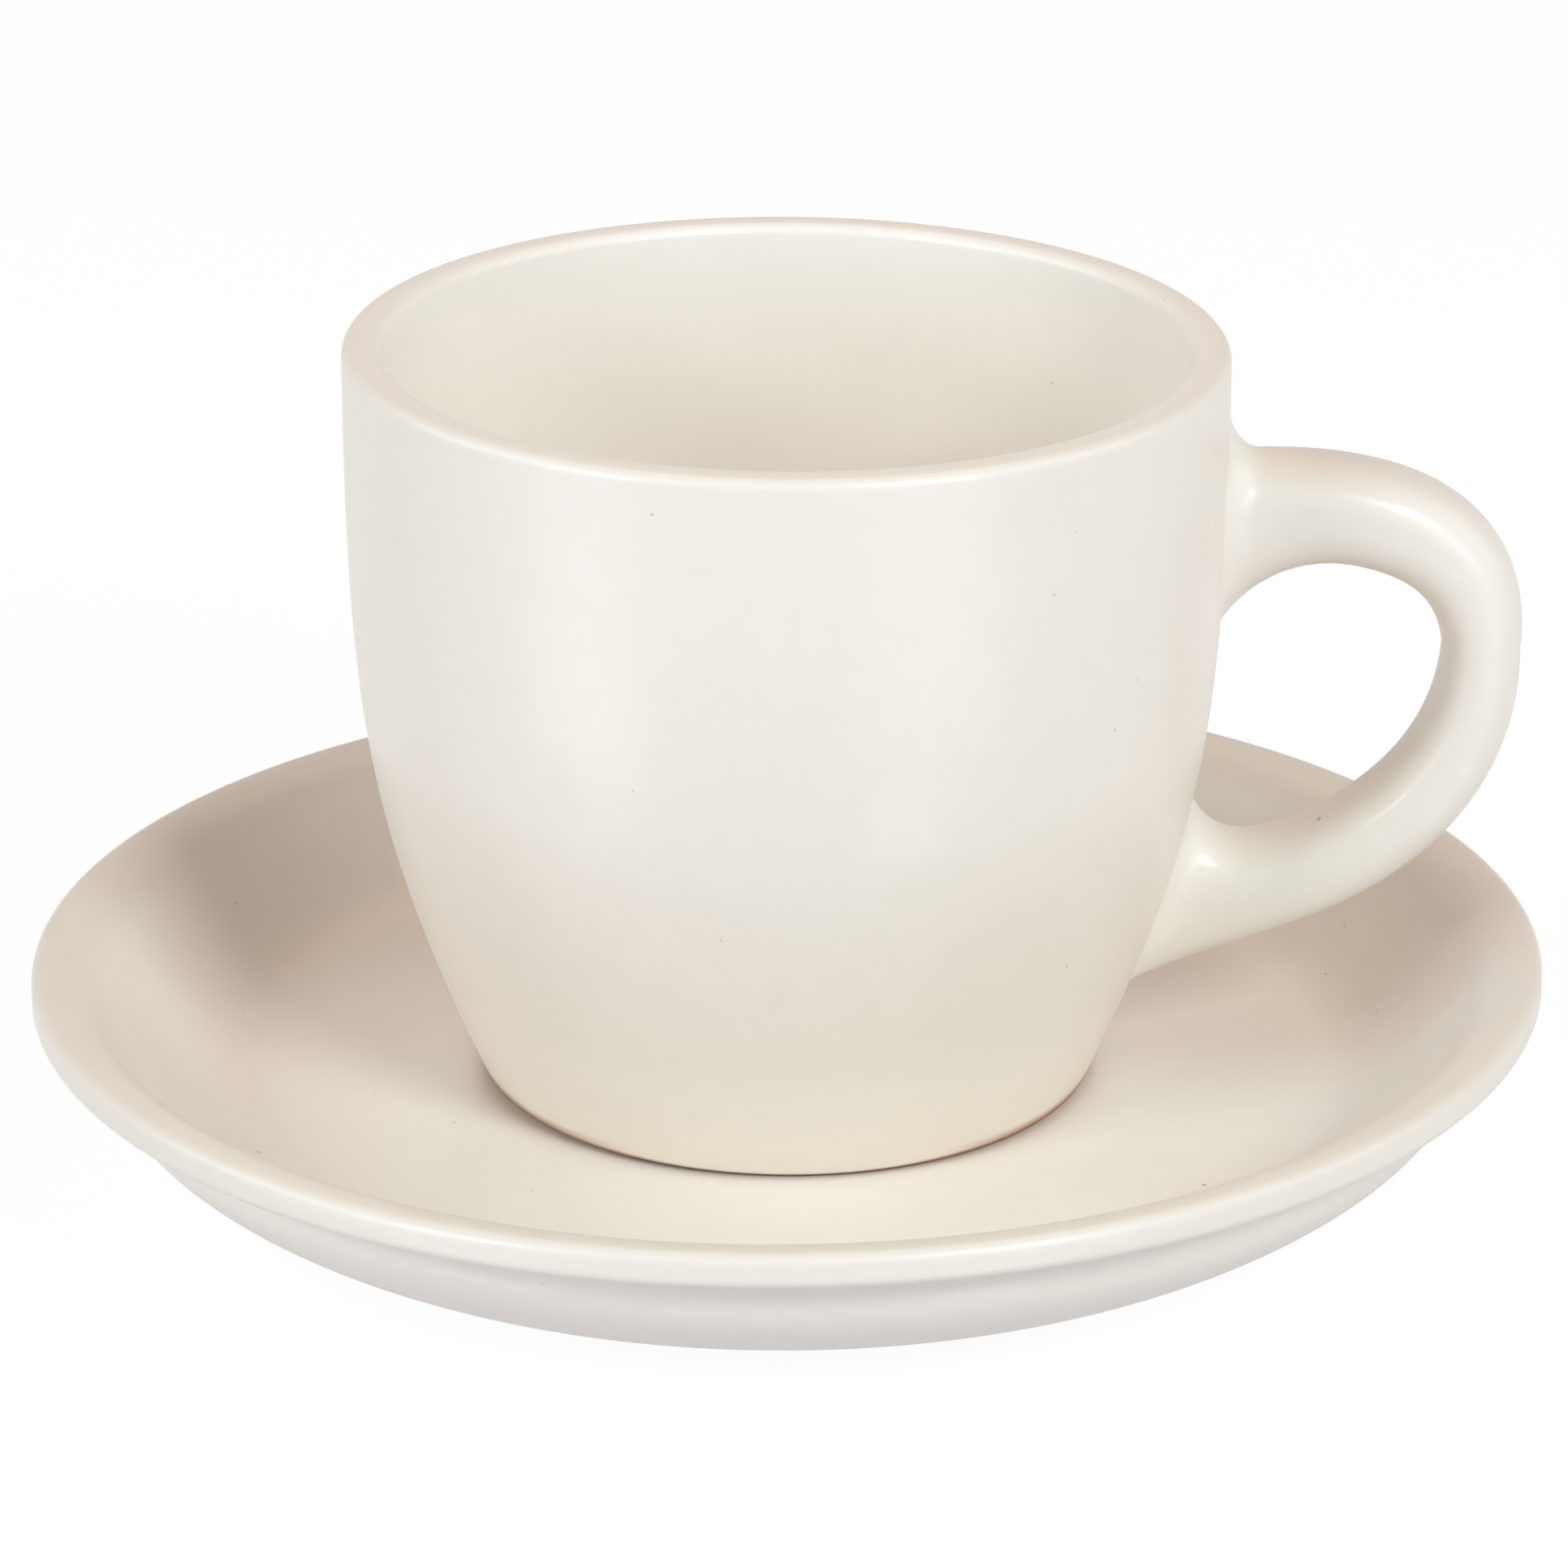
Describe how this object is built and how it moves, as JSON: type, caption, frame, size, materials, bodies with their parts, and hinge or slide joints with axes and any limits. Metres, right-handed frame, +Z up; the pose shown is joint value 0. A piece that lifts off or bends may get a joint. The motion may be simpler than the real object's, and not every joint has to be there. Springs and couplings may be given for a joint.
{
  "type": "espresso cup with saucer",
  "caption": "Glazed stoneware espresso cup with a luted loop handle, standing loose on the flat floor of a shallow round saucer with a thick rolled lip.",
  "frame": {"origin": "middle of the saucer's foot ring, on the table", "axes": "+Z up along the common axis of cup and saucer, +X from that axis towards the handle, +Y to the right of someone who looks along -X at the handle side"},
  "size_m": [0.118, 0.118, 0.067],
  "materials": {
    "saucer_glaze": "satin cream glaze with fine dark specks",
    "cup_glaze": "satin cream glaze with fine dark specks"
  },
  "bodies": {
    "saucer": {"saucer": "saucer_glaze"},
    "cup": {"cup_body": "cup_glaze", "cup_handle": "cup_glaze"}
  },
  "joints": [
    {"name": "cup_lift", "type": "slide", "parent": "saucer", "child": "cup", "axis": [0, 0, 1], "range_m": [0, 0.12]}
  ]
}
